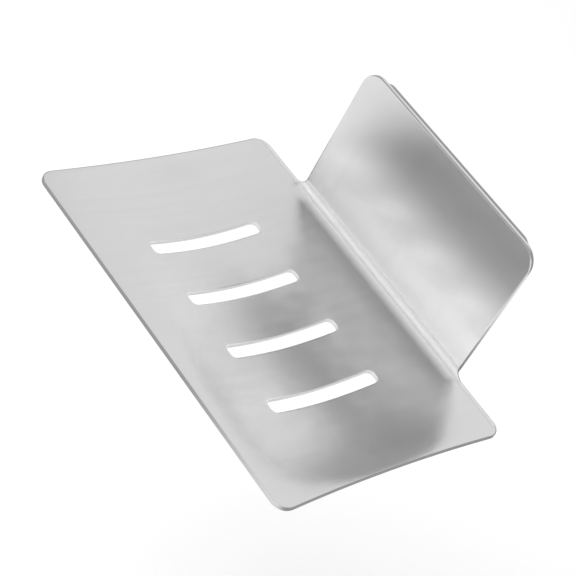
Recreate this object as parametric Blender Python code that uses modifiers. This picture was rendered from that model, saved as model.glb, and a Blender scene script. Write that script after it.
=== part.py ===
"""Soap holder: a pressed and folded steel sheet that a foam pad sticks to the wall.

One stainless sheet makes the tray and the back plate. It is cut flat, with four
drain slots, then pressed into a shallow dish and folded up along its rear edge.
A die-cut foam tape pad lies on the back of the plate, under its peel-off liner.

Frame: metres, +Z up, +X to the right seen from the front, +Y towards the wall.
The origin is the middle of the outermost back face, where the holder meets the wall.
"""

import math

import bmesh
import bpy
import numpy as np

# Tray: the part of the sheet that the soap lies on
TRAY_LENGTH = 0.130
TRAY_DEPTH = 0.090
TRAY_CORNER_RADIUS = 0.005
TRAY_END_BOW = 0.0015
SHEET_THICKNESS = 0.0012

# Dish pressed into the tray, deepest in the middle and level along the rim
DISH_DEPTH = 0.0054
DISH_REAR_RIM = 0.002
DISH_SQUARENESS = 8
DISH_SOFTNESS = 1.7

# Back plate, folded up from the tray's rear edge: a wide arc leads in, a tight one turns
PLATE_WIDTH = 0.0825
PLATE_HEIGHT = 0.0512
PLATE_CORNER_RADIUS = 0.0065
LEAD_RADIUS = 0.012
LEAD_DEGREES = 22
FOLD_RADIUS = 0.002
ROOT_FILLET = 0.0013
ROOT_FADE = 0.003

# Drain slots, cut through the tray from front to rear
SLOT_COUNT = 4
SLOT_LENGTH = 0.0422
SLOT_WIDTH = 0.0047
SLOT_PITCH = 0.021
SLOT_CORNER_RADIUS = 0.0018

# Foam pad and its liner, both die-cut to one outline
PAD_WIDTH = 0.072
PAD_HEIGHT = 0.044
PAD_CORNER_RADIUS = 0.004
PAD_TOP_INSET = 0.0006
FOAM_THICKNESS = 0.0012
LINER_THICKNESS = 0.0002
SEAT_GAP = 0.0003

# Mesh fineness and the overrun of every cut
CUT_OVERRUN = 0.002
SLOPE_STEP = 0.00001
WELD_DISTANCE = 0.000001
CORNER_STEPS = 6
BOW_STEPS = 12
TRAY_ROWS = 22
LEAD_ROWS = 4
FOLD_ROWS = 6
PLATE_ROWS = 4
EAR_COLUMNS = 6
ROOT_COLUMNS = 4
PLATE_COLUMNS = 20

# Sizes that follow from the ones above
LEAD_ANGLE = math.radians(LEAD_DEGREES)
LEAD_START = -FOLD_RADIUS - (LEAD_RADIUS - FOLD_RADIUS) * math.sin(LEAD_ANGLE)
FOLD_START = LEAD_START + LEAD_RADIUS * LEAD_ANGLE
FOLD_END = FOLD_START + FOLD_RADIUS * (math.pi / 2 - LEAD_ANGLE)
FOLD_RISE = LEAD_RADIUS * (1 - math.cos(LEAD_ANGLE)) + FOLD_RADIUS * math.cos(LEAD_ANGLE)
PLATE_END = FOLD_END + PLATE_HEIGHT - FOLD_RISE
SLOT_CENTRE = -(DISH_REAR_RIM + TRAY_DEPTH) / 2
PAD_CENTRE = PLATE_HEIGHT - PAD_TOP_INSET - PAD_HEIGHT / 2
FOAM_BACK = -(LINER_THICKNESS + SEAT_GAP)
PLATE_BACK = FOAM_BACK - FOAM_THICKNESS - SEAT_GAP
PLATE_FRONT = PLATE_BACK - SHEET_THICKNESS


def clear_scene():
    for item in list(bpy.data.objects):
        bpy.data.objects.remove(item)


def collection(name):
    group = bpy.data.collections.new(name)
    bpy.context.scene.collection.children.link(group)
    return group


def material(name, colour, roughness, metallic=0.0):
    made = bpy.data.materials.new(name)
    made.use_nodes = True
    shader = made.node_tree.nodes["Principled BSDF"]
    shader.inputs["Base Color"].default_value = (*colour, 1.0)
    shader.inputs["Roughness"].default_value = roughness
    shader.inputs["Metallic"].default_value = metallic
    return made


def arc(centre_x, centre_y, radius, start, end):
    """Points of a quarter or other arc, with its angles in degrees."""
    turn = np.radians(np.linspace(start, end, CORNER_STEPS + 1))
    return np.column_stack([centre_x + radius * np.cos(turn), centre_y + radius * np.sin(turn)])


def rounded_rectangle(width, height, radius):
    """Outline of a rectangle about the origin, turning anticlockwise."""
    x = width / 2 - radius
    y = height / 2 - radius
    corners = [
        arc(x, y, radius, 0, 90),
        arc(-x, y, radius, 90, 180),
        arc(-x, -y, radius, 180, 270),
        arc(x, -y, radius, 270, 360),
    ]
    return np.vstack(corners)


def prism(name, outline, thickness, group):
    """A closed mesh: the outline, extruded half its thickness to each side of z = 0."""
    curve = bpy.data.curves.new(name, "CURVE")
    curve.dimensions = "2D"
    curve.fill_mode = "BOTH"
    curve.extrude = thickness / 2
    spline = curve.splines.new("POLY")
    spline.points.add(len(outline) - 1)
    for point, (x, y) in zip(spline.points, outline):
        point.co = (x, y, 0.0, 1.0)
    spline.use_cyclic_u = True
    drawn = bpy.data.objects.new(name + "_outline", curve)
    bpy.context.scene.collection.objects.link(drawn)
    seen = drawn.evaluated_get(bpy.context.evaluated_depsgraph_get())
    mesh = bpy.data.meshes.new_from_object(seen)
    bpy.data.objects.remove(drawn)
    shell = bmesh.new()
    shell.from_mesh(mesh)
    bmesh.ops.remove_doubles(shell, verts=shell.verts, dist=WELD_DISTANCE)
    bmesh.ops.recalc_face_normals(shell, faces=shell.faces)
    shell.to_mesh(mesh)
    shell.free()
    mesh.name = name
    made = bpy.data.objects.new(name, mesh)
    group.objects.link(made)
    return made


def hump(share):
    """A smooth rise and fall: 0 at either end of the share's 0 to 1, and 1 halfway."""
    inside = np.clip(share, 0.0, 1.0)
    return 4 * inside * (1 - inside)


def half_length(s):
    """Half the tray's length at s: the press draws each end in, most at mid depth."""
    return TRAY_LENGTH / 2 - TRAY_END_BOW * hump(-s / TRAY_DEPTH)


def blank_outline():
    """Outline of the flat sheet: x along the tray, s from front (-) to the plate's top (+)."""
    x = TRAY_LENGTH / 2 - TRAY_CORNER_RADIUS
    front = -TRAY_DEPTH + TRAY_CORNER_RADIUS
    side = PLATE_WIDTH / 2
    end = np.linspace(front, -TRAY_CORNER_RADIUS, BOW_STEPS + 1)[1:-1]
    tray_end = np.column_stack([np.full_like(end, TRAY_LENGTH / 2), end])
    shoulder = side - PLATE_CORNER_RADIUS
    right = np.vstack([
        arc(x, front, TRAY_CORNER_RADIUS, 270, 360),
        tray_end,
        arc(x, -TRAY_CORNER_RADIUS, TRAY_CORNER_RADIUS, 0, 90),
        arc(side + ROOT_FILLET, ROOT_FILLET, ROOT_FILLET, 270, 180),
        arc(shoulder, PLATE_END - PLATE_CORNER_RADIUS, PLATE_CORNER_RADIUS, 0, 90),
    ])
    right[:, 0] *= half_length(right[:, 1]) / (TRAY_LENGTH / 2)
    left = right[::-1] * (-1, 1)
    return np.vstack([right, left])


def stations(limits, counts):
    """Grid lines: each stretch between two limits is cut into its count of equal steps."""
    lines = [np.linspace(a, b, n, endpoint=False) for a, b, n in zip(limits, limits[1:], counts)]
    return np.append(np.concatenate(lines), limits[-1])


def flat_blank(group):
    """The sheet as a grid with thickness, its top at z = 0, before any cut."""
    root = PLATE_WIDTH / 2
    fade = root + ROOT_FADE
    end = TRAY_LENGTH / 2 + CUT_OVERRUN
    columns = stations(
        [-end, -fade, -root, root, fade, end],
        [EAR_COLUMNS, ROOT_COLUMNS, PLATE_COLUMNS, ROOT_COLUMNS, EAR_COLUMNS],
    )
    rows = stations(
        [-TRAY_DEPTH - CUT_OVERRUN, LEAD_START, FOLD_START, FOLD_END, PLATE_END + CUT_OVERRUN],
        [TRAY_ROWS, LEAD_ROWS, FOLD_ROWS, PLATE_ROWS],
    )
    grid = bmesh.new()
    bmesh.ops.create_grid(grid, x_segments=len(columns) - 1, y_segments=len(rows) - 1, size=1)
    for vertex in grid.verts:
        column = round((vertex.co.x + 1) / 2 * (len(columns) - 1))
        row = round((vertex.co.y + 1) / 2 * (len(rows) - 1))
        vertex.co = (columns[column], rows[row], 0.0)
    mesh = bpy.data.meshes.new("steel_holder")
    grid.to_mesh(mesh)
    grid.free()
    sheet = bpy.data.objects.new("steel_holder", mesh)
    group.objects.link(sheet)
    solid = sheet.modifiers.new("Thickness", "SOLIDIFY")
    solid.thickness = SHEET_THICKNESS
    solid.offset = -1
    return sheet


def cut(sheet, cutter, operation):
    """Add a Boolean to the sheet; the cutter stays as a hidden wire guide."""
    cutter.hide_render = True
    cutter.display_type = "WIRE"
    trim = sheet.modifiers.new(cutter.name, "BOOLEAN")
    trim.operation = operation
    trim.solver = "EXACT"
    trim.object = cutter


def top_surface(x, s):
    """Place on the formed sheet's upper face of the flat sheet's point (x, s).

    Tray: z = -depth * (end term * front-to-rear term) ** softness.
    Fold: the lead-in arc, then the tight arc up to the quarter, then straight up. It
    fades out sideways into each ear.
    """
    reach = np.clip(np.abs(x) / half_length(s), 0.0, 1.0)
    across = hump((s + DISH_REAR_RIM) / (DISH_REAR_RIM - TRAY_DEPTH))
    dish = DISH_DEPTH * ((1 - reach**DISH_SQUARENESS) * across) ** DISH_SOFTNESS
    lead = np.clip((s - LEAD_START) / LEAD_RADIUS, 0.0, LEAD_ANGLE)
    turn = LEAD_ANGLE + np.clip((s - FOLD_START) / FOLD_RADIUS, 0.0, math.pi / 2 - LEAD_ANGLE)
    gone = LEAD_RADIUS * np.sin(lead) + FOLD_RADIUS * (np.sin(turn) - math.sin(LEAD_ANGLE))
    risen = LEAD_RADIUS * (1 - np.cos(lead)) + FOLD_RADIUS * (math.cos(LEAD_ANGLE) - np.cos(turn))
    bent_y = np.minimum(s, LEAD_START) + gone
    bent_z = risen + np.maximum(s - FOLD_END, 0.0)
    fade = np.clip((PLATE_WIDTH / 2 + ROOT_FADE - np.abs(x)) / ROOT_FADE, 0.0, 1.0)
    fold = fade * fade * (3 - 2 * fade)
    return np.stack([x, s + fold * (bent_y - s), fold * bent_z - dish], axis=-1)


def form(flat):
    """Press and fold the flat sheet: its points keep their depth below the upper face."""
    x, s, below = flat.T
    along_x = top_surface(x + SLOPE_STEP, s) - top_surface(x - SLOPE_STEP, s)
    along_s = top_surface(x, s + SLOPE_STEP) - top_surface(x, s - SLOPE_STEP)
    normal = np.cross(along_x, along_s)
    normal /= np.linalg.norm(normal, axis=1, keepdims=True)
    return top_surface(x, s) + normal * below[:, None]


def steel_holder(group, cutters):
    sheet = flat_blank(group)
    deep = 2 * (SHEET_THICKNESS + CUT_OVERRUN)
    cut(sheet, prism("blank_outline", blank_outline(), deep, cutters), "INTERSECT")
    slot = rounded_rectangle(SLOT_WIDTH, SLOT_LENGTH, SLOT_CORNER_RADIUS)
    for number in range(SLOT_COUNT):
        centre = (number - (SLOT_COUNT - 1) / 2) * SLOT_PITCH
        outline = slot + (centre, SLOT_CENTRE)
        cut(sheet, prism(f"slot_{number + 1}", outline, deep, cutters), "DIFFERENCE")
    bpy.context.view_layer.update()
    seen = sheet.evaluated_get(bpy.context.evaluated_depsgraph_get())
    mesh = bpy.data.meshes.new_from_object(seen)
    flat = np.empty(len(mesh.vertices) * 3)
    mesh.vertices.foreach_get("co", flat)
    mesh.vertices.foreach_set("co", form(flat.reshape(-1, 3)).ravel())
    mesh.update()
    mesh.shade_smooth()
    mesh.set_sharp_from_angle(angle=math.radians(30))
    sheet.modifiers.clear()
    sheet.data = mesh
    sheet.location = (0.0, PLATE_FRONT, -PAD_CENTRE)
    sheet.data.materials.append(material("satin_steel", (0.62, 0.62, 0.62), 0.3, metallic=1.0))
    return sheet


def pad_layer(name, back, thickness, finish, group):
    """One layer of the pad: the shared outline, stood up with its back face at y = back."""
    outline = rounded_rectangle(PAD_WIDTH, PAD_HEIGHT, PAD_CORNER_RADIUS)
    layer = prism(name, outline, thickness, group)
    layer.rotation_euler.x = math.pi / 2
    layer.location.y = back - thickness / 2
    layer.data.materials.append(finish)
    return layer


def build():
    clear_scene()
    parts = collection("soap_holder")
    cutters = collection("soap_holder_cutters")
    wall = bpy.data.objects.new("wall_face", None)
    wall.empty_display_size = PAD_HEIGHT
    parts.objects.link(wall)
    foam = material("grey_foam", (0.22, 0.22, 0.22), 0.85)
    paper = material("liner_paper", (0.82, 0.81, 0.78), 0.6)
    pieces = [
        steel_holder(parts, cutters),
        pad_layer("foam_pad", FOAM_BACK, FOAM_THICKNESS, foam, parts),
        pad_layer("release_liner", 0.0, LINER_THICKNESS, paper, parts),
    ]
    for piece in pieces:
        piece.parent = wall


build()
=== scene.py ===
# %% [markdown]
# # A wall soap holder, pressed from one sheet of satin steel
#
# This lesson dresses a small soap holder for a product picture. The real one is a
# single sheet of stainless steel, cut flat, pressed into a shallow dish and folded up
# at the back, with a foam pad and its peel-off liner behind the fold-up plate.
#
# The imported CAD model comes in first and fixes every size. It could simply be given
# better materials, but its facets are coarse where light slides over the dish. So the
# steel is worked out again here from the same formulas, on a far finer grid, with the
# small rounding that deburring leaves on every cut edge.

# %% Load the frame
import math

import bpy
import numpy as np
from mathutils import Matrix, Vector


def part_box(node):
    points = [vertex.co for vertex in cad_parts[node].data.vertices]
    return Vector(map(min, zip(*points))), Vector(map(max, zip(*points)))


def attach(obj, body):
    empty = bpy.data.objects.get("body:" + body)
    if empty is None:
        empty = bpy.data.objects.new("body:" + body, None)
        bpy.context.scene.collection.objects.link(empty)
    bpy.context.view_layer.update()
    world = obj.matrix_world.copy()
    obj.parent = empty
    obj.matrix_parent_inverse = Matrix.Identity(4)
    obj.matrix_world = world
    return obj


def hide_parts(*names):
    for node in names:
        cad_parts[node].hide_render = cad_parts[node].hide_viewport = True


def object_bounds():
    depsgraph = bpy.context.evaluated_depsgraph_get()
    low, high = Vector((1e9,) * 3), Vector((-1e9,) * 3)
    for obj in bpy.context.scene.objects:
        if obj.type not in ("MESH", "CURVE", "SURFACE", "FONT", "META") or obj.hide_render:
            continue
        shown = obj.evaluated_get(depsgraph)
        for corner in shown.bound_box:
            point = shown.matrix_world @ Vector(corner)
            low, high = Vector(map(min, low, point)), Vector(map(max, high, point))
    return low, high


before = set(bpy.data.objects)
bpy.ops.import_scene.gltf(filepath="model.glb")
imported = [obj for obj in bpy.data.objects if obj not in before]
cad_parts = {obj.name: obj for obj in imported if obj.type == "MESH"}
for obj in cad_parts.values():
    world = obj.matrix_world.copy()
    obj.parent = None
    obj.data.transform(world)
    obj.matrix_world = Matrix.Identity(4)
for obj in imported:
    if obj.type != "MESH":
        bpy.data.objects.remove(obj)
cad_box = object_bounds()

steel_low, steel_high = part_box("steel_holder")
print("CAD nodes:", sorted(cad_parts), "steel from", tuple(steel_low), "to", tuple(steel_high))

# %% [markdown]
# ## The sizes of the sheet
#
# A press shop draws a bent part twice: once flat, as it is cut, and once formed. We do
# the same. Lengths are in metres. The flat drawing has x along the tray, from left to
# right, and s from front to rear: s is 0 at the rear edge of the tray, negative on the
# tray and positive up the plate. What the frame can tell is read from it instead.

# %% Sizes of the blank
TRAY_LENGTH = 0.130
TRAY_DEPTH = 0.090
TRAY_CORNER_RADIUS = 0.005
TRAY_END_BOW = 0.0015
SHEET_THICKNESS = 0.0012
PLATE_WIDTH = 0.0825
PLATE_HEIGHT = 0.0512
PLATE_CORNER_RADIUS = 0.0065
ROOT_FILLET = 0.0013
SLOT_PITCH = 0.021
SLOT_WIDTH = 0.0047
SLOT_LENGTH = 0.0422
SLOT_CORNER_RADIUS = 0.0018

# %% Sizes of the press and the fold
DISH_DEPTH = 0.0054
DISH_SQUARENESS = 8
DISH_SOFTNESS = 1.7
DISH_REAR = -0.002
LEAD_RADIUS = 0.012
LEAD_ANGLE = math.radians(22)
FOLD_RADIUS = 0.002
ROOT_FADE = 0.003
FOLD_START = -FOLD_RADIUS - (LEAD_RADIUS - FOLD_RADIUS) * math.sin(LEAD_ANGLE)
FOLD_MIDDLE = FOLD_START + LEAD_RADIUS * LEAD_ANGLE
FOLD_END = FOLD_MIDDLE + FOLD_RADIUS * (math.pi / 2 - LEAD_ANGLE)
FOLD_RISE = LEAD_RADIUS * (1 - math.cos(LEAD_ANGLE)) + FOLD_RADIUS * math.cos(LEAD_ANGLE)
PLATE_END = FOLD_END + PLATE_HEIGHT - FOLD_RISE
SLOT_CENTRE = (DISH_REAR - TRAY_DEPTH) / 2
PLATE_FRONT = steel_high.y - SHEET_THICKNESS
RIM_LEVEL = steel_high.z - PLATE_HEIGHT
print(f"plate front at y = {PLATE_FRONT * 1000:.2f} mm, tray rim at z = {RIM_LEVEL * 1000:.2f} mm")

# %% [markdown]
# ## From flat to formed
#
# The dish and the fold are both smooth functions of the two flat coordinates, so one
# function places any point of the blank. That is better here than bending a mesh with
# modifiers: the surface is exact everywhere, its slope can be measured, and thickness
# can be laid off square to it, as it is in real pressed sheet.

# %% The press and the fold as one function
def hump(share):
    """A smooth rise and fall: four times the share times what is left of 1, so it is
    0 at both ends and 1 halfway. Shares outside 0 to 1 count as the nearest end."""
    inside = np.clip(share, 0.0, 1.0)
    return 4 * inside * (1 - inside)


def half_length(s):
    """Half the tray's length at s: the nominal half, less the bow times the hump of
    the share of the depth, because the press draws the ends in most at mid depth."""
    return TRAY_LENGTH / 2 - TRAY_END_BOW * hump(-s / TRAY_DEPTH)


def upper_face(x, s):
    """Place of the flat point (x, s) on the formed sheet's upper face.

    The dish sinks by its depth times (one minus the eighth power of the share of the
    way to the tray's end) times the front-to-rear hump, all to the power 1.7. The fold
    walks s along a wide arc that leads in, a tight arc that turns the rest of the
    quarter, and then straight up. Towards each ear it fades out along a smooth step,
    so that the ears stay level.
    """
    reach = np.clip(np.abs(x) / half_length(s), 0.0, 1.0)
    across = hump((DISH_REAR - s) / (DISH_REAR + TRAY_DEPTH))
    dish = DISH_DEPTH * ((1 - reach**DISH_SQUARENESS) * across) ** DISH_SOFTNESS
    lead = np.clip((s - FOLD_START) / LEAD_RADIUS, 0.0, LEAD_ANGLE)
    turn = np.clip((s - FOLD_MIDDLE) / FOLD_RADIUS + LEAD_ANGLE, LEAD_ANGLE, math.pi / 2)
    bent_y = FOLD_START + LEAD_RADIUS * np.sin(lead) + FOLD_RADIUS * (np.sin(turn) - math.sin(LEAD_ANGLE))
    bent_y = np.where(s > FOLD_START, bent_y, s)
    bent_z = LEAD_RADIUS * (1 - np.cos(lead)) + FOLD_RADIUS * (math.cos(LEAD_ANGLE) - np.cos(turn))
    bent_z = bent_z + np.maximum(s - FOLD_END, 0.0)
    fade = np.clip((PLATE_WIDTH / 2 + ROOT_FADE - np.abs(x)) / ROOT_FADE, 0.0, 1.0)
    fold = fade * fade * (3 - 2 * fade)
    return np.stack([x, s + fold * (bent_y - s), fold * bent_z - dish], axis=-1)


SLOPE_STEP = 0.00001


def formed(flat):
    """Place of flat points (x, s, height): their place on the upper face, plus their
    height (below it, so negative) times the unit normal. The normal is the cross
    product of the two slopes, each a difference over a hundredth of a millimetre."""
    x, s, height = np.moveaxis(flat, -1, 0)
    along_x = upper_face(x + SLOPE_STEP, s) - upper_face(x - SLOPE_STEP, s)
    along_s = upper_face(x, s + SLOPE_STEP) - upper_face(x, s - SLOPE_STEP)
    normal = np.cross(along_x, along_s)
    normal /= np.linalg.norm(normal, axis=-1, keepdims=True)
    place = upper_face(x, s) + normal * height[..., None]
    return place + (0.0, PLATE_FRONT, RIM_LEVEL)


lowest = formed(np.array([0.0, SLOT_CENTRE, -SHEET_THICKNESS]))
print(f"underside of the dish at z = {lowest[2] * 1000:.2f} mm, CAD says {steel_low.z * 1000:.2f} mm")

# %% [markdown]
# ## Outlines that can be drawn at any inset
#
# Every cut edge is an outline of straight lines and arcs. Written as functions of an
# inset, the same outline can be drawn again a little inside itself: its straight
# parts move over, an outer corner gets a smaller radius and an inner corner a larger
# one. Point for point the two drawings match, which is what a clean grid needs.

# %% Lines, arcs and joined paths
def line(start, end, steps):
    """Points from start to end in equal steps: start plus a share of the way."""
    share = np.linspace(0.0, 1.0, steps + 1)[:, None]
    return np.array(start) * (1 - share) + np.array(end) * share


def arc(centre, radius, start, end, steps):
    """Points of an arc: the centre plus the radius times (cosine, sine) of an angle
    that goes from start to end, in degrees, in equal steps."""
    turn = np.radians(np.linspace(start, end, steps + 1))
    return np.array(centre) + radius * np.column_stack([np.cos(turn), np.sin(turn)])


def joined(*paths):
    """Paths laid end to end, with each shared end point kept once."""
    return np.vstack([path[:-1] for path in paths[:-1]] + [paths[-1]])


def rounded_sides(width, height, radius, across, along, arc_steps):
    """The four sides of a rounded rectangle about the origin: bottom, right, top and
    left, anticlockwise. Each goes from the middle of one corner's arc to the middle
    of the next: half an arc, a straight part and half an arc."""
    x, y = width / 2 - radius, height / 2 - radius
    corners = [(-x, -y), (x, -y), (x, y), (-x, y)]
    sides = []
    for number, steps in enumerate((across, along, across, along)):
        here, there = corners[number], corners[(number + 1) % 4]
        square = 270 + 90 * number
        first = arc(here, radius, square - 45, square, arc_steps)
        last = arc(there, radius, square, square + 45, arc_steps)
        straight = line(first[-1], last[0], steps - 2 * arc_steps)
        sides.append(joined(first, straight, last))
    return sides


# %% The right half of the blank's outline
CELL_ACROSS = 24
CELL_ALONG = 64
CORNER_STEPS = 5
ROOT_STEPS = 8
EAR_STEPS = 12
END_STEPS = CELL_ALONG - 3 * CORNER_STEPS - EAR_STEPS
HALF_ACROSS = 2 * CELL_ACROSS
PLATE_ACROSS = HALF_ACROSS - ROOT_STEPS
SIDE_STEPS = 30


def blank_sections(inset):
    """The blank's right half, drawn at an inset, as five sections that run
    anticlockwise: the tray's front, its end with the rear ear, the notch, the plate's
    side, and the plate's top. Each half of a shared corner goes with the section
    beside it. The bow scales x by the half length over the nominal half."""
    x, front = TRAY_LENGTH / 2 - TRAY_CORNER_RADIUS, TRAY_CORNER_RADIUS - TRAY_DEPTH
    rear = -TRAY_CORNER_RADIUS
    side, top = PLATE_WIDTH / 2, PLATE_END - PLATE_CORNER_RADIUS
    corner = TRAY_CORNER_RADIUS - inset
    crown = PLATE_CORNER_RADIUS - inset
    front_corner = arc((x, front), corner, 270, 360, 2 * CORNER_STEPS)
    rear_corner = arc((x, rear), corner, 0, 90, 2 * CORNER_STEPS)
    notch = arc((side + ROOT_FILLET, ROOT_FILLET), ROOT_FILLET + inset, 270, 180, ROOT_STEPS)
    shoulder = arc((side - PLATE_CORNER_RADIUS, top), crown, 0, 90, 2 * CORNER_STEPS)
    front_edge = line((0.0, -TRAY_DEPTH + inset), front_corner[0], HALF_ACROSS - CORNER_STEPS)
    end = line(front_corner[-1], rear_corner[0], END_STEPS)
    ear = line(rear_corner[-1], notch[0], EAR_STEPS)
    side_edge = line(notch[-1], shoulder[0], SIDE_STEPS)
    top_edge = line(shoulder[-1], (0.0, PLATE_END - inset), PLATE_ACROSS - CORNER_STEPS)
    sections = [
        joined(front_edge, front_corner[:CORNER_STEPS + 1]),
        joined(front_corner[CORNER_STEPS:], end, rear_corner, ear),
        notch,
        joined(side_edge, shoulder[:CORNER_STEPS + 1]),
        joined(shoulder[CORNER_STEPS:], top_edge),
    ]
    for section in sections:
        section[:, 0] *= half_length(section[:, 1]) / (TRAY_LENGTH / 2)
    return sections


outline = joined(*blank_sections(0.0))
print("half outline:", len(outline), "points, width", round(2000 * outline[:, 0].max(), 2), "mm")

# %% [markdown]
# ## Patches of two parameters
#
# A flat region with holes can be filled by letting Blender triangulate it, but
# reflections on polished sheet show every uneven triangle. So the blank is divided
# the way a quilt is: a frame of quads round each drain slot, a frame from those out
# to the rim, and one patch for the plate. Each patch is a grid worked out at once.

# %% Ruled and four-sided patches
def ruled(inner, outer, shares):
    """Rows of points between two matching paths: one minus the share times the
    inner path, plus the share times the outer one."""
    share = np.asarray(shares)[:, None, None]
    return (1 - share) * inner + share * outer


def four_sided(bottom, right, top, left):
    """A patch inside four edges. bottom and top run alike, and so do left and right.

    The blend across plus the blend upwards counts the corners twice, so the blend of
    the four corners is taken away again.
    """
    u = np.linspace(0.0, 1.0, len(bottom))[None, :, None]
    v = np.linspace(0.0, 1.0, len(left))[:, None, None]
    upwards = (1 - v) * bottom[None] + v * top[None]
    across = (1 - u) * left[:, None] + u * right[:, None]
    corners = (1 - u) * ((1 - v) * bottom[0] + v * top[0]) + u * ((1 - v) * bottom[-1] + v * top[-1])
    return upwards + across - corners


def at_height(patch, height):
    """A flat patch with a third coordinate: the height above the sheet's upper face."""
    return np.dstack([patch, np.full(patch.shape[:2], height)])


# %% Grids to one closed mesh
WELD_DISTANCE = 1e-7
KEY_SHIFT = 0.25  # keeps points at 0 away from the border between two rounded keys


def mesh_from_grids(name, grids, place):
    """One mesh from (grid, flip) pairs. A face joins the points (i, j), (i+1, j),
    (i+1, j+1) and (i, j+1); flip turns it over. Points that agree to the weld
    distance become one, place() then puts them in space, and the flat place of every
    vertex is kept as an attribute for the materials."""
    points = np.concatenate([grid.reshape(-1, 3) for grid, flip in grids])
    faces, offset = [], 0
    for grid, flip in grids:
        rows, columns = grid.shape[:2]
        index = np.arange(rows * columns).reshape(rows, columns) + offset
        quads = np.stack([index[:-1, :-1], index[1:, :-1], index[1:, 1:], index[:-1, 1:]], axis=-1)
        quads = quads.reshape(-1, 4)
        faces.append(quads[:, ::-1] if flip else quads)
        offset += rows * columns
    keys = np.round(points / WELD_DISTANCE + KEY_SHIFT).astype(np.int64)
    _, first, shared = np.unique(keys, axis=0, return_index=True, return_inverse=True)
    flat = points[first]
    quads = shared.reshape(-1)[np.concatenate(faces)]
    mesh = bpy.data.meshes.new(name)
    mesh.vertices.add(len(flat))
    mesh.vertices.foreach_set("co", place(flat).ravel())
    mesh.loops.add(quads.size)
    mesh.loops.foreach_set("vertex_index", quads.ravel().astype(np.int32))
    mesh.polygons.add(len(quads))
    mesh.polygons.foreach_set("loop_start", np.arange(0, quads.size, 4, dtype=np.int32))
    mesh.update(calc_edges=True)
    flat_place = mesh.attributes.new("flat_place", "FLOAT_VECTOR", "POINT")
    flat_place.data.foreach_set("vector", flat.ravel().astype(np.float32))
    mesh.shade_smooth()
    pairs = np.sort(np.stack([quads, np.roll(quads, -1, axis=1)], axis=-1).reshape(-1, 2), axis=1)
    _, uses = np.unique(pairs, axis=0, return_counts=True)
    print(f"{name}: {len(flat)} vertices, {len(quads)} quads, open edges {np.sum(uses != 2)}")
    return mesh


# %% [markdown]
# ## The edge as a profile along a path
#
# A punch pulls the sheet down a little before it shears, so the upper edge is a wide,
# shallow roll. Below it the wall is flat, and tumbling has taken the burr off its
# foot. That profile is drawn once, as an inset and a height, and the outline is drawn
# again at every inset of it. It carries a narrow strip of the flat faces too, so that
# the soft shading of the roll does not leak over the faces.

# %% Edge profile and its sweep
ROLL_WIDTH = 0.00045
ROLL_DEPTH = 0.00018
BURR_ROUNDING = 0.0001
EDGE_LANDING = 0.0006
ROUND_STEPS = 5


def edge_profile(thickness, width, depth, rounding, landing):
    """Rows of (inset, height) from the upper face over the edge to the lower one. On
    the upper roll the inset is its width times (1 - sine) and the height is minus its
    depth times (1 - cosine); the foot is a quarter round made in the same way."""
    turn = np.linspace(0.0, math.pi / 2, ROUND_STEPS + 1)
    inward, down = 1 - np.sin(turn), 1 - np.cos(turn)
    roll = np.column_stack([width * inward, -depth * down])
    foot = np.column_stack([rounding * inward, rounding * down - thickness])[::-1]
    return np.vstack([(landing, 0.0), roll, foot, (landing, -thickness)])


def swept(path_at, profile):
    """The path drawn at each inset of the profile and set to its height."""
    rows = []
    for inset, height in profile:
        path = path_at(inset)
        rows.append(np.column_stack([path, np.full(len(path), height)]))
    return np.stack(rows)


sheet_edge = edge_profile(SHEET_THICKNESS, ROLL_WIDTH, ROLL_DEPTH, BURR_ROUNDING, EDGE_LANDING)
print("edge profile:", len(sheet_edge), "rows, from", sheet_edge[0], "to", sheet_edge[-1])

# %% [markdown]
# ## The pressed steel sheet
#
# Half the sheet is made and then mirrored, as its die was surely drawn. Two slots lie
# in each half. The upper and the lower face share the same flat patches, one sheet
# thickness apart, and the swept edges close the sheet along its rim and in its slots.

# %% Patches of the right half
CELL_LENGTH = 0.056
CELL_FRONT = SLOT_CENTRE - CELL_LENGTH / 2
CELL_REAR = SLOT_CENTRE + CELL_LENGTH / 2
SLOT_CORNER_STEPS = 4
HALF_SLOTS = [SLOT_PITCH / 2, SLOT_PITCH * 3 / 2]

# Shares of the way from each inner path to its outer one, closer where the sheet curves.
RING_ROWS = np.array([0, 0.05, 0.13, 0.24, 0.38, 0.54, 0.70, 0.85, 1])
CLOSE_FROM, WIDE_ROWS, CLOSE_ROWS = 0.62, 11, 27
FRAME_ROWS = np.concatenate([
    np.linspace(0, CLOSE_FROM, WIDE_ROWS)[:-1],
    np.linspace(CLOSE_FROM, 1, CLOSE_ROWS),
])


def slot_path(centre, outset):
    """A slot's whole outline as one closed path, drawn at an outset from its edge."""
    sides = rounded_sides(
        SLOT_WIDTH + 2 * outset, SLOT_LENGTH + 2 * outset, SLOT_CORNER_RADIUS + outset,
        CELL_ACROSS, CELL_ALONG, SLOT_CORNER_STEPS,
    )
    return joined(*sides) + (centre, SLOT_CENTRE)


def cell_path(centre):
    """The straight-sided cell round a slot, with the points in the same order."""
    left, right = centre - SLOT_PITCH / 2, centre + SLOT_PITCH / 2
    corners = [(left, CELL_FRONT), (right, CELL_FRONT), (right, CELL_REAR), (left, CELL_REAR)]
    ends = corners[1:] + corners[:1]
    steps = (CELL_ACROSS, CELL_ALONG, CELL_ACROSS, CELL_ALONG)
    return joined(*[line(start, end, count) for start, end, count in zip(corners, ends, steps)])


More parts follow.
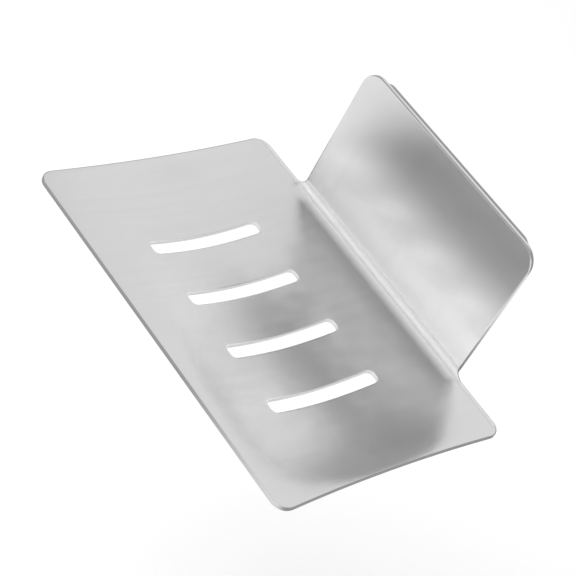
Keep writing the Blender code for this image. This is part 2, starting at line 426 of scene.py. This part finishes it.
def half_patches():
    """The flat patches of the right half, all anticlockwise and outwards."""
    front, end, notch, side, top = blank_sections(EDGE_LANDING)
    far = 2 * SLOT_PITCH
    rings = [ruled(slot_path(x, EDGE_LANDING), cell_path(x), RING_ROWS) for x in HALF_SLOTS]
    root = line(notch[-1], (0.0, notch[-1, 1]), PLATE_ACROSS)
    frames = [
        ruled(line((0.0, CELL_FRONT), (far, CELL_FRONT), HALF_ACROSS), front, FRAME_ROWS),
        ruled(line((far, CELL_FRONT), (far, CELL_REAR), CELL_ALONG), end, FRAME_ROWS),
        ruled(line((far, CELL_REAR), (0.0, CELL_REAR), HALF_ACROSS), joined(notch, root), FRAME_ROWS),
    ]
    middle = line(root[-1], top[-1], len(side) - 1)
    return rings + frames + [four_sided(root, middle, top, side)]


# %% Close and form the sheet
def sheet_grids():
    """Both faces, the rim and the slot edges of the right half, then all mirrored."""
    rim = swept(lambda inset: joined(*blank_sections(inset)), sheet_edge)
    slots = [swept(lambda inset: slot_path(x, inset), sheet_edge[::-1]) for x in HALF_SLOTS]
    upper = [(at_height(patch, 0.0), False) for patch in half_patches()]
    lower = [(at_height(patch, -SHEET_THICKNESS), True) for patch in half_patches()]
    right = upper + lower + [(rim, False)] + [(slot, False) for slot in slots]
    return right + [(grid * (-1, 1, 1), not flip) for grid, flip in right]


def new_piece(name, mesh):
    """An object for the mesh, linked to the scene; its place is in the mesh."""
    piece = bpy.data.objects.new(name, mesh)
    bpy.context.scene.collection.objects.link(piece)
    return piece


steel = new_piece("pressed_steel_sheet", mesh_from_grids("pressed_steel_sheet", sheet_grids(), formed))
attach(steel, "root")
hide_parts("steel_holder")
off_by = np.abs(np.array(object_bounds()) - np.array(cad_box)).max()
print("steel box matches the CAD node to", round(off_by * 1000, 4), "mm")

# %% [markdown]
# ## The foam pad and its liner
#
# Behind the plate sits a die-cut pad of closed-cell acrylic foam with adhesive on both
# faces, and on its outer face the paper liner that is peeled off before mounting. Only
# a dark strip of the foam shows over the plate in the photograph. The cutter squeezes
# the foam as it goes through, so the cut wall is drawn in a little at mid thickness.

# %% Layers of the pad
PAD_CORNER_RADIUS = 0.004
PAD_ACROSS = 60
PAD_ALONG = 40
FOAM_WAIST = 0.00012
FOAM_ROUNDING = 0.00008
LINER_ROUNDING = 0.00004
PAD_LANDING = 0.0005


def waisted(profile, thickness, waist):
    """The profile with its wall drawn in: the waist times the hump of the depth."""
    profile = profile.copy()
    profile[:, 0] += waist * hump(-profile[:, 1] / thickness)
    return profile


def pad_grids(width, height, thickness, rounding, waist):
    """A flat cut layer: the front face, the swept wall and the back face, about the
    middle of the front face, with the third coordinate counted away from it."""
    def sides(inset):
        return rounded_sides(
            width - 2 * inset, height - 2 * inset, PAD_CORNER_RADIUS - inset,
            PAD_ACROSS, PAD_ALONG, CORNER_STEPS,
        )

    bottom, right, top, left = sides(PAD_LANDING)
    face = four_sided(bottom, right, top[::-1], left[::-1])
    edge = edge_profile(thickness, rounding, rounding, rounding, PAD_LANDING)
    wall = swept(lambda inset: joined(*sides(inset)), waisted(edge, thickness, waist))
    return [(at_height(face, 0.0), True), (at_height(face, -thickness), False), (wall, False)]


def pad_piece(name, node, rounding, waist):
    """A layer that fills its CAD node's box, with its outer face towards the wall."""
    low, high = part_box(node)
    size = high - low
    centre = (low + high) / 2

    def stand_up(flat):
        return np.column_stack([flat[:, 0] + centre.x, low.y - flat[:, 2], flat[:, 1] + centre.z])

    grids = pad_grids(size.x, size.z, size.y, rounding, waist)
    piece = new_piece(name, mesh_from_grids(name, grids, stand_up))
    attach(piece, "root")
    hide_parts(node)
    return piece


foam = pad_piece("foam_tape_pad", "foam_pad", FOAM_ROUNDING, FOAM_WAIST)
liner = pad_piece("peel_off_liner", "release_liner", LINER_ROUNDING, 0.0)

# %% [markdown]
# ## A small language for shader nodes
#
# Node graphs are easier to read as sums than as lists of links. `Wire` wraps one
# output socket and overloads the arithmetic, so `0.3 + 0.1 * grain` adds its own Math
# nodes. `Tree` adds any other node from its type, its settings and its inputs.

# %% Wires and trees
class Wire:
    """An output socket that can be reckoned with."""

    def __init__(self, tree, socket):
        self.tree = tree
        self.socket = socket

    def math(self, operation, first, second=0.0):
        return self.tree.node("ShaderNodeMath", {"operation": operation}, {0: first, 1: second})

    def __add__(self, other):
        return self.math("ADD", self, other)

    def __sub__(self, other):
        return self.math("SUBTRACT", self, other)

    def __rsub__(self, other):
        return self.math("SUBTRACT", other, self)

    def __mul__(self, other):
        return self.math("MULTIPLY", self, other)

    __radd__ = __add__
    __rmul__ = __mul__


class Tree:
    """A material's or world's node tree."""

    def __init__(self, owner):
        owner.use_nodes = True
        self.nodes = owner.node_tree.nodes
        self.links = owner.node_tree.links

    def node(self, kind, settings=(), inputs=(), output=0):
        """Add a node: settings first, then a value or a wire for each input. Inputs
        and the output go by name, or by number where names repeat."""
        made = self.nodes.new(kind)
        for name, value in dict(settings).items():
            setattr(made, name, value)
        for name, value in dict(inputs).items():
            self.feed(made.inputs[name], value)
        return Wire(self, made.outputs[output])

    def feed(self, socket, value):
        if isinstance(value, Wire):
            self.links.new(value.socket, socket)
        else:
            socket.default_value = value

    def mixed(self, factor, first, second):
        """A colour between two: the factor runs from the first to the second. Of the
        node's sockets, inputs 6 and 7 and output 2 are the ones for colours."""
        sockets = {0: factor, 6: first, 7: second}
        return self.node("ShaderNodeMix", {"data_type": "RGBA"}, sockets, output=2)

    def axes(self, vector):
        """The three coordinates of a vector."""
        return [self.node("ShaderNodeSeparateXYZ", inputs={0: vector}, output=axis) for axis in "XYZ"]

    def noise(self, vector, scale, detail):
        inputs = {"Vector": vector, "Scale": scale, "Detail": detail}
        return self.node("ShaderNodeTexNoise", inputs=inputs)

    def bump(self, height, distance, strength=1.0, under=None):
        """A Normal from a height that is counted in the distance, in metres, on top
        of the Normal of another bump if there is one under it."""
        inputs = {"Strength": strength, "Distance": distance, "Height": height}
        if under is not None:
            inputs["Normal"] = under
        return self.node("ShaderNodeBump", inputs=inputs)

    def light_path(self, name):
        """One output of a Light Path node, by its name in full."""
        return self.node("ShaderNodeLightPath", output=name)


# %% A finish on a piece
def finish(piece, name, sockets):
    """Give the piece a new material: sockets(tree) names the shader's inputs."""
    material = bpy.data.materials.new(name)
    tree = Tree(material)
    shader = tree.nodes["Principled BSDF"]
    for socket, value in sockets(tree).items():
        tree.feed(shader.inputs[socket], value)
    piece.data.materials.clear()
    piece.data.materials.append(material)


def grey(level):
    """A neutral colour."""
    return (level, level, level, 1.0)


# %% [markdown]
# ## Satin steel
#
# The sheet is brushed before it is cut, so its fine scratches run from front to rear
# on the tray and straight up the plate, through the fold. Each scratch is a tiny
# groove that throws light sideways: a reflection smears by some 15 degrees across the
# grain and by hardly 3 along it. The scratches are finer than a pixel, so the shader's
# anisotropy does the smearing, and noise adds only what an eye can pick out.
#
# Where its Tangent isn't linked, the shader lets the smear run round the middle of
# the mesh's texture space. With that middle set a kilometre behind the wall, the
# direction is the same everywhere: along x, square to the grain.

# %% Direction of the grain
GRAIN_CENTRE = (0.0, 1000.0, 0.0)
steel.data.use_auto_texspace = False
steel.data.texspace_location = GRAIN_CENTRE
steel.data.texspace_size = (1.0, 1.0, 1.0)


# %% Masks and brushed noise on the flat place
FAR = 1.0  # metres, past the holder on every side, for a mask with no end
NOISE_ROUGHNESS = 0.6


def flat_place(tree):
    """The attribute that holds each point's place on the flat blank and its height."""
    return tree.node("ShaderNodeAttribute", {"attribute_name": "flat_place"}, output="Vector")


def between(tree, value, low, high, soft):
    """1 where the value lies from low to high and 0 elsewhere, with soft edges: a
    smooth step up round low, less a smooth step up round high."""
    steps = [
        tree.node(
            "ShaderNodeMapRange", {"interpolation_type": "SMOOTHSTEP"},
            {"Value": value, "From Min": edge - soft, "From Max": edge + soft},
        )
        for edge in (low, high)
    ]
    return steps[0] - steps[1]


def brushed(tree, across, along, detail):
    """Noise on the flat place, stretched: its scale across the grain and along it are
    both per metre, and detail counts the finer layers on top."""
    stretched = tree.node(
        "ShaderNodeVectorMath", {"operation": "MULTIPLY"},
        {0: flat_place(tree), 1: (across, along, across)},
    )
    return tree.node(
        "ShaderNodeTexNoise", {"noise_dimensions": "3D"},
        {"Vector": stretched, "Scale": 1.0, "Detail": detail, "Roughness": NOISE_ROUGHNESS},
    )


# %% [markdown]
# ## Dull cut edges, partly painted shade
#
# A punch shears the upper part of a cut and tears the rest, so most of the wall is dull, and here its
# dark grey is partly that finish and partly painted shade. The photograph shows where it isn't: the slots
# are bright all round, the front edge brightens towards the right, and the plate's edges brighten
# upwards. A mask made of these bands, which follow light and shade as much as the metal, is truer to it
# than one tone for every edge.

# %% Mask of the dull edge and its painted shade
EDGE_TOP, EDGE_FOOT, EDGE_FADE = -0.000008, 0.00005 - SHEET_THICKNESS, 0.000006
ROLL_FADE = 0.00003
BAND_FADE = 0.001
FRONT_BAND = 0.0015 - TRAY_DEPTH
FRONT_BRIGHT_FROM, FRONT_FADE, FRONT_SHARE = 0.040, 0.030, 0.9
SIDE_BRIGHT_FROM, SIDE_FADE = 0.014, 0.016
TOP_BAND = PLATE_END - 0.002
CORNER_BAND, CORNER_FROM, CORNER_FADE = PLATE_END - 0.006, 0.037, 0.002


def dull_edge_and_painted_shade(tree, x, s, height):
    """1 where the cut edge is left dull and dark grey: partly its own finish, partly painted shade. Over
    the plate's top only the roll is dull, and not the wall behind it; at its right-hand corner it is the
    other way round."""
    edge = between(tree, height, EDGE_FOOT, EDGE_TOP, EDGE_FADE)
    slots = between(tree, x, -2 * SLOT_PITCH, 2 * SLOT_PITCH, BAND_FADE)
    slots = slots * between(tree, s, CELL_FRONT, CELL_REAR, BAND_FADE)
    front = between(tree, s, -FAR, FRONT_BAND, BAND_FADE)
    front = front * between(tree, x, FRONT_BRIGHT_FROM, FAR, FRONT_FADE)
    roll = between(tree, height, -ROLL_DEPTH, FAR, ROLL_FADE)
    top = between(tree, s, TOP_BAND, FAR, BAND_FADE)
    corner = between(tree, x, CORNER_FROM, FAR, CORNER_FADE)
    corner = corner * between(tree, s, CORNER_BAND, FAR, CORNER_FADE)
    upper = between(tree, s, SIDE_BRIGHT_FROM, FAR, SIDE_FADE)
    upper = upper * (1.0 - top * roll) * (1.0 - corner * (1.0 - roll))
    return edge * (1.0 - slots) * (1.0 - FRONT_SHARE * front) * (1.0 - upper)


# %% [markdown]
# ## The steel's finish
#
# Three layers of noise make the brushing: fine lines, wider streaks and a faint haze.
# A fourth stands for the shallow waves that the press leaves in the tray. The fold is treated apart: the
# bend breaks the smear up into ripples, and the photograph shows a paler band inside it with a faint
# darker one above. These two are painted into the colour: a painted highlight inside the fold and a
# painted shade above it.

# %% Satin steel finish
# For each layer: scale across the grain, scale along it (both per metre) and detail.
LINES = (2600.0, 36.0, 3.0)
STREAKS = (420.0, 12.0, 3.0)
HAZE = (34.0, 22.0, 2.0)
RIPPLES = (4000.0, 5000.0, 2.0)
WAVES = (95.0, 55.0, 1.0)

# For each band along s: from, to and the fade at its ends.
BENT = (FOLD_MIDDLE - 0.0006, FOLD_END + 0.0002, 0.0010)
# The next two bands are painted light: a painted highlight inside the fold, and a painted shade just
# above it.
PAINTED_HIGHLIGHT_BAND = (FOLD_MIDDLE - 0.0001, FOLD_MIDDLE + 0.0014, 0.0008)
PAINTED_SHADE_BAND = (FOLD_END + 0.0004, FOLD_END + 0.0012, 0.0006)
PRESSED = (0.006 - TRAY_DEPTH, -0.010, 0.004)

STEEL_LOW, STEEL_HIGH = 0.63, 0.73
# The first two greys are painted light: a painted highlight and a painted shade on the fold. The third is
# the dull cut edge's grey, partly its own finish and partly painted shade.
PAINTED_HIGHLIGHT_GREY, PAINTED_SHADE_GREY, DULL_AND_SHADE_GREY = 0.93, 0.60, 0.30
STEEL_ROUGHNESS, LAYER_ROUGHNESS, DULL_AND_SHADE_ROUGHNESS, BENT_ROUGHNESS = 0.205, 0.03, 0.3, 0.1
LINE_DEPTH, LINE_STRENGTH = 0.00002, 0.12
RIPPLE_DEPTH = 0.0003
WAVE_DEPTH = 0.00022
DULL_AND_SHADE_METAL_LOSS = 0.9
ANISOTROPY = 0.96


def satin_steel(tree):
    x, s, height = tree.axes(flat_place(tree))
    dull_and_shade = dull_edge_and_painted_shade(tree, x, s, height)
    bent = between(tree, s, *BENT)
    streaks, haze = brushed(tree, *STREAKS), brushed(tree, *HAZE)
    face = tree.mixed(0.5 * streaks + 0.5 * haze, grey(STEEL_LOW), grey(STEEL_HIGH))
    # A painted highlight inside the fold and a painted shade above it, mixed into the colour.
    face = tree.mixed(between(tree, s, *PAINTED_HIGHLIGHT_BAND), face, grey(PAINTED_HIGHLIGHT_GREY))
    face = tree.mixed(between(tree, s, *PAINTED_SHADE_BAND), face, grey(PAINTED_SHADE_GREY))
    roughness = STEEL_ROUGHNESS + LAYER_ROUGHNESS * streaks + LAYER_ROUGHNESS * haze
    normal = tree.bump(brushed(tree, *LINES), LINE_DEPTH, LINE_STRENGTH)
    # Noise lies round 0.5, so that is taken off before a mask fades it out to 0.
    ripples = (brushed(tree, *RIPPLES) - 0.5) * bent
    waves = (brushed(tree, *WAVES) - 0.5) * between(tree, s, *PRESSED)
    normal = tree.bump(ripples, RIPPLE_DEPTH, under=normal)
    normal = tree.bump(waves, WAVE_DEPTH, under=normal)
    return {
        # The dull cut edge's grey: partly its own finish and partly painted shade.
        "Base Color": tree.mixed(dull_and_shade, face, grey(DULL_AND_SHADE_GREY)),
        "Metallic": 1.0 - DULL_AND_SHADE_METAL_LOSS * dull_and_shade,
        "Roughness": roughness + DULL_AND_SHADE_ROUGHNESS * dull_and_shade + BENT_ROUGHNESS * bent,
        "Anisotropic": ANISOTROPY,
        "Normal": normal,
    }


finish(steel, "satin_steel", satin_steel)
print("steel finish:", len(steel.data.materials[0].node_tree.nodes), "nodes")

# %% [markdown]
# ## Foam and paper
#
# The foam is cut through its cells, so its wall is dark, matt and pitted. The liner is
# siliconised paper: a pale, slightly warm face with a silky sheen, and a darker wall
# where the die has pressed its layers together. Both are small in the picture, so one
# fine noise for the grain and one slow noise for the tone are enough.

# %% Foam and liner finishes
CELL_SCALE, CELL_DEPTH, CELL_STRENGTH = 5200.0, 0.00006, 0.5
BLOTCHES = (600.0, 3.0)
FOAM_LOW, FOAM_HIGH = 0.25, 0.32
FOAM_ROUGHNESS, FOAM_ROUGHNESS_RANGE = 0.8, 0.15

FIBRES, FIBRE_DEPTH, FIBRE_STRENGTH = (900.0, 6.0), 0.00004, 0.2
CLOUDS = (60.0, 2.0)
PAPER_LOW, PAPER_HIGH = (0.66, 0.65, 0.61, 1.0), (0.74, 0.73, 0.70, 1.0)
PAPER_CUT_GREY = 0.36
PAPER_ROUGHNESS, PAPER_ROUGHNESS_RANGE = 0.42, 0.2
CUT_INSET, CUT_FADE = 0.00001, 0.000005

liner_low, liner_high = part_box("release_liner")
LINER_THICKNESS = liner_high.y - liner_low.y


def object_place(tree):
    """A point's own coordinates, in metres."""
    return tree.node("ShaderNodeTexCoord", output="Object")


def closed_cell_foam(tree):
    place = object_place(tree)
    inputs = {"Vector": place, "Scale": CELL_SCALE}
    cells = tree.node("ShaderNodeTexVoronoi", {"feature": "F1"}, inputs, output="Distance")
    blotches = tree.noise(place, *BLOTCHES)
    return {
        "Base Color": tree.mixed(blotches, grey(FOAM_LOW), grey(FOAM_HIGH)),
        "Roughness": FOAM_ROUGHNESS + FOAM_ROUGHNESS_RANGE * blotches,
        "Normal": tree.bump(cells, CELL_DEPTH, CELL_STRENGTH),
    }


def liner_paper(tree):
    place = object_place(tree)
    height = tree.axes(flat_place(tree))[2]
    cut = between(tree, height, CUT_INSET - LINER_THICKNESS, -CUT_INSET, CUT_FADE)
    fibres, clouds = tree.noise(place, *FIBRES), tree.noise(place, *CLOUDS)
    paper = tree.mixed(clouds, PAPER_LOW, PAPER_HIGH)
    return {
        "Base Color": tree.mixed(cut, paper, grey(PAPER_CUT_GREY)),
        "Roughness": PAPER_ROUGHNESS + PAPER_ROUGHNESS_RANGE * fibres,
        "Normal": tree.bump(fibres, FIBRE_DEPTH, FIBRE_STRENGTH),
    }


finish(foam, "grey_foam", closed_cell_foam)
finish(liner, "liner_paper", liner_paper)
print("liner thickness", round(LINER_THICKNESS * 1000, 3), "mm")

# %% [markdown]
# ## The studio
#
# Steel shows little colour of its own: what we see on it is the room. A product
# studio is mostly white card and softboxes with dark gaps between them, and the tones
# on the tray and the plate tell where those were. Two angles describe the room well
# for a shape that is folded about x. The rise goes from the front horizon (0) over the
# ceiling (90) to the rear one (180), and the side goes from the middle to the left.
#
# Only mirrored rays see these areas. Matt surfaces are lit by an even world and one
# soft lamp at a plain level, and the camera sees white. A photograph rolls its
# highlights off, and the Standard view doesn't. So what is brighter than white card is
# dimmed where the steel shows it directly, and keeps its level in steel that is seen
# in steel. Only on the side that the fold shows in the photograph is it raised
# instead. No real room does this: it is a fit to one picture, and in low views and
# from behind, parts of the steel still clip to white.
#
# The first four areas began as a least-squares fit of this formula to the tones on the steel in the
# photograph, and were rounded. The fifth and the shares were set one by one.

# %% World
AMBIENT = 0.8
CARD_LEVEL = 1.0
STUDIO_AREAS = [
    # what it is, change of level, rise from and to, its softness, side from and to, its softness
    ("front softbox", 1.75, -40, 37, 11, -120, 21, 11),
    ("dark gap over it", -0.6, 47, 59, 5, -120, 120, 5),
    ("black flag on the left", -1.45, 18, 47, 7, 26, 120, 10),
    ("ceiling softbox", 0.8, 73, 94, 5, -120, 120, 5),
    ("dark corner on the far left", -0.55, 105, 175, 10, 42, 120, 9),
]
HIGHLIGHT_SHARE = 0.25
FOLD_HIGHLIGHT_SHARE = 1.5
FOLD_SIDES = (12, 40, 8)
FIRST_MIRROR_DEPTH = 2.5  # a world counts its own ray too: 2 after one mirror, 3 after two


def studio_level(tree):
    """The level of the room in the direction of a ray: the card's, plus every area's
    change of level where the ray meets it, and never less than 0."""
    x, y, z = tree.axes(tree.node("ShaderNodeTexCoord", output="Generated"))
    rise = z.math("ARCTAN2", z, y * -1.0) * math.degrees(1)
    side = x.math("ARCSINE", x * -1.0) * math.degrees(1)
    level = CARD_LEVEL
    for name, change, low, high, soft, near, far, side_soft in STUDIO_AREAS:
        area = between(tree, rise, low, high, soft) * between(tree, side, near, far, side_soft)
        level = area * change + level
    level = level.math("MAXIMUM", level, 0.0)

    # What lies over the card's level is multiplied by the share, after one mirror only.
    share = HIGHLIGHT_SHARE + (FOLD_HIGHLIGHT_SHARE - HIGHLIGHT_SHARE) * between(tree, side, *FOLD_SIDES)
    bright = level.math("MAXIMUM", level - CARD_LEVEL, 0.0)
    later = level.math("GREATER_THAN", tree.light_path("Ray Depth"), FIRST_MIRROR_DEPTH)
    return level + (1.0 - later) * (share - 1.0) * bright


def light_studio():
    world = bpy.data.worlds.new("studio")
    bpy.context.scene.world = world
    tree = Tree(world)
    camera = tree.light_path("Is Camera Ray")
    mirrored = tree.light_path("Is Glossy Ray") + tree.light_path("Is Transmission Ray")
    strength = AMBIENT + camera * (1.0 - AMBIENT) + mirrored * (studio_level(tree) - AMBIENT)
    background = tree.nodes["Background"].inputs
    tree.feed(background["Strength"], strength)
    tree.feed(background["Color"], grey(1.0))
    print("studio areas:", [area[0] for area in STUDIO_AREAS])


light_studio()

# %% [markdown]
# ## Floor and lamp
#
# The holder hangs over a wide, pale paper floor, far enough for its shadow to be
# faint, since the photograph shows none. A floor of one tone would end in a grey line
# against the white world in low views. So its lift grows with the distance, as a paper
# sweep brightens towards the lit wall behind it, and what is close keeps the shadow.

# %% Floor
FLOOR_DROP = 0.14
FLOOR_SIZE = 6.0
FLOOR_GREY = 0.95
FLOOR_LIFT = 0.10
HORIZON_LIFT = 0.24
HORIZON_FROM, HORIZON_FADE = 1.2, 0.6


def square(name, size, height):
    """A level square about the origin."""
    half = size / 2
    corners = [(x * half, y * half, height) for x, y in ((-1, -1), (1, -1), (1, 1), (-1, 1))]
    mesh = bpy.data.meshes.new(name)
    mesh.from_pydata(corners, [], [(0, 1, 2, 3)])
    return new_piece(name, mesh)


def white_floor(tree):
    """Pale and matt. To the camera, and in the steel, it is lifted a little, so that
    it reads as white and still keeps the holder's shadow. No light comes from the
    lift, because rays that carry light don't see it."""
    names = ("Is Camera Ray", "Is Glossy Ray", "Is Transmission Ray")
    camera, glossy, through = (tree.light_path(name) for name in names)
    inputs = {0: object_place(tree)}
    reach = tree.node("ShaderNodeVectorMath", {"operation": "LENGTH"}, inputs, output="Value")
    far_off = between(tree, reach, HORIZON_FROM, 10 * FLOOR_SIZE, HORIZON_FADE)
    lift = FLOOR_LIFT + (HORIZON_LIFT - FLOOR_LIFT) * far_off
    return {
        "Base Color": grey(FLOOR_GREY),
        "Roughness": 1.0,
        "Specular IOR Level": 0.0,
        "Emission Color": tree.mixed((camera + glossy + through) * lift, grey(0.0), grey(1.0)),
        "Emission Strength": 1.0,
    }


floor = square("studio_floor", FLOOR_SIZE, steel_low.z - FLOOR_DROP)
finish(floor, "studio_floor", white_floor)
print("floor at z =", round(floor.data.vertices[0].co.z * 1000, 1), "mm")

# %% Lamp
LAMP_SIZE = 0.7
LAMP_WATTS = 4.0
LAMP_PLACE = (-0.5, -0.45, 0.8)

lamp_data = bpy.data.lights.new("softbox", "AREA")
lamp_data.shape = "DISK"
lamp_data.size = LAMP_SIZE
lamp_data.energy = LAMP_WATTS
lamp = bpy.data.objects.new("softbox", lamp_data)
bpy.context.scene.collection.objects.link(lamp)
lamp.location = LAMP_PLACE
lamp.rotation_mode = "QUATERNION"
lamp.rotation_quaternion = (-lamp.location).to_track_quat("-Z", "Y")
lamp.visible_glossy = False

# %% [markdown]
# ## The camera
#
# The photograph was taken from above and to the right, rolled by a good 30 degrees,
# with a long lens. These numbers come from fitting the outline of the holder. The
# principal point is held in the middle by moving the camera sideways, without shift.

# %% Camera
AZIMUTH, ELEVATION, ROLL = (math.radians(angle) for angle in (32.445, 38.378, 30.702))
DISTANCE = 0.50865
FOCAL_PIXELS = 1709.78
IMAGE_PIXELS = 576
AIM_PIXEL = (282.859, 299.719)
AIM_POINT = np.array([0.0, -0.040, 0.0]) + (0.0, PLATE_FRONT, RIM_LEVEL)
SENSOR_WIDTH = 36.0
NEAREST, FARTHEST = 0.01, 20.0


def place_camera():
    """A camera whose three axes come from its azimuth, elevation and roll. It stands
    back from the aim point and aside, so that this point falls on its pixel."""
    outwards = math.cos(ELEVATION)
    back = np.array([
        math.sin(AZIMUTH) * outwards, -math.cos(AZIMUTH) * outwards, math.sin(ELEVATION),
    ])
    level = np.array([math.cos(AZIMUTH), math.sin(AZIMUTH), 0.0])
    upright = np.cross(back, level)
    right = math.cos(ROLL) * level + math.sin(ROLL) * upright
    up = -math.sin(ROLL) * level + math.cos(ROLL) * upright
    middle = (IMAGE_PIXELS - 1) / 2
    metres_per_pixel = DISTANCE / FOCAL_PIXELS
    aside = (AIM_PIXEL[0] - middle) * metres_per_pixel
    above = -(AIM_PIXEL[1] - middle) * metres_per_pixel
    data = bpy.data.cameras.new("camera")
    data.sensor_width = SENSOR_WIDTH
    data.lens = FOCAL_PIXELS / IMAGE_PIXELS * SENSOR_WIDTH
    data.clip_start, data.clip_end = NEAREST, FARTHEST
    camera = bpy.data.objects.new("camera", data)
    bpy.context.scene.collection.objects.link(camera)
    turned = np.eye(4)
    turned[:3, :3] = np.column_stack([right, up, back])
    turned[:3, 3] = AIM_POINT + back * DISTANCE - right * aside - up * above
    camera.matrix_world = Matrix(turned)
    bpy.context.scene.camera = camera
    return camera


camera = place_camera()
print("camera at", tuple(round(v, 4) for v in camera.matrix_world.translation))

bpy.context.scene.view_settings.view_transform = "Standard"
